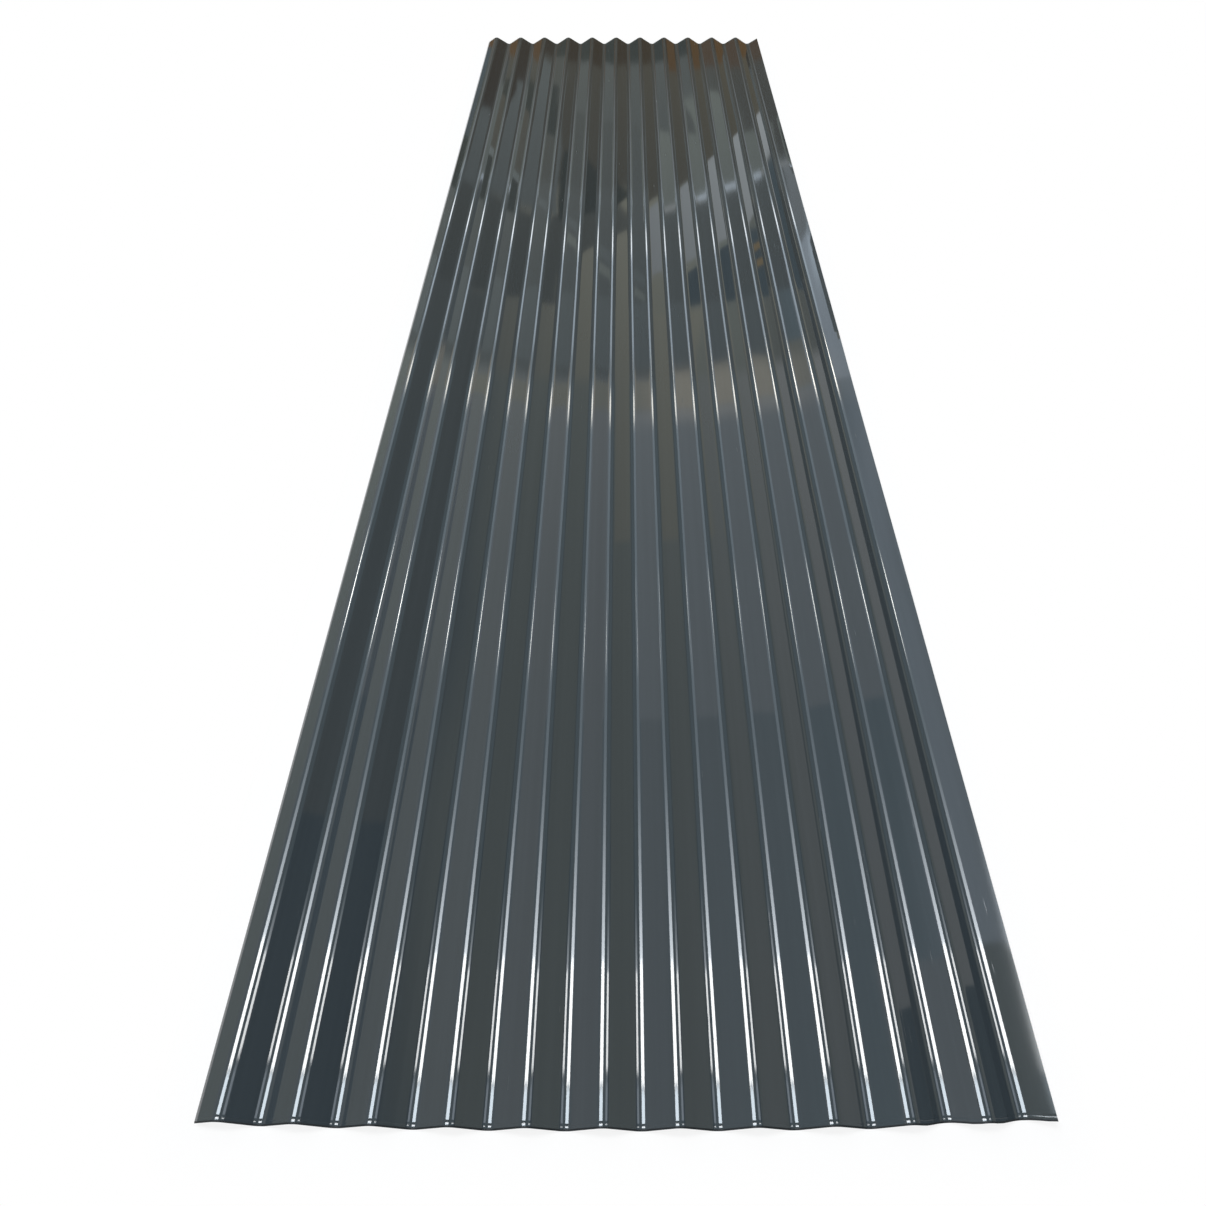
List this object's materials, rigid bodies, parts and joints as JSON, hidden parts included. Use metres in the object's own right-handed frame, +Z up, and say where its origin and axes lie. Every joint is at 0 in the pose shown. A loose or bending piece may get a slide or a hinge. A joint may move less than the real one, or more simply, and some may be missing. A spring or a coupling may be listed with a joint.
{
  "type": "corrugated metal sheet",
  "caption": "Long coated steel sheet with round waves along its length, for roofs and walls. Its side edges, turned down and up, lap with the next sheets.",
  "frame": {"origin": "centre of the bounding box at floor level, under the valleys that the sheet rests on", "axes": "+Y along the waves and the 3 m length, +X across the waves towards the up-turned edge, +Z up from the floor"},
  "size_m": [0.855, 3, 0.018],
  "materials": {
    "coated_steel": "gloss"
  },
  "bodies": {
    "root": {"corrugated_sheet": "coated_steel"}
  },
  "joints": []
}
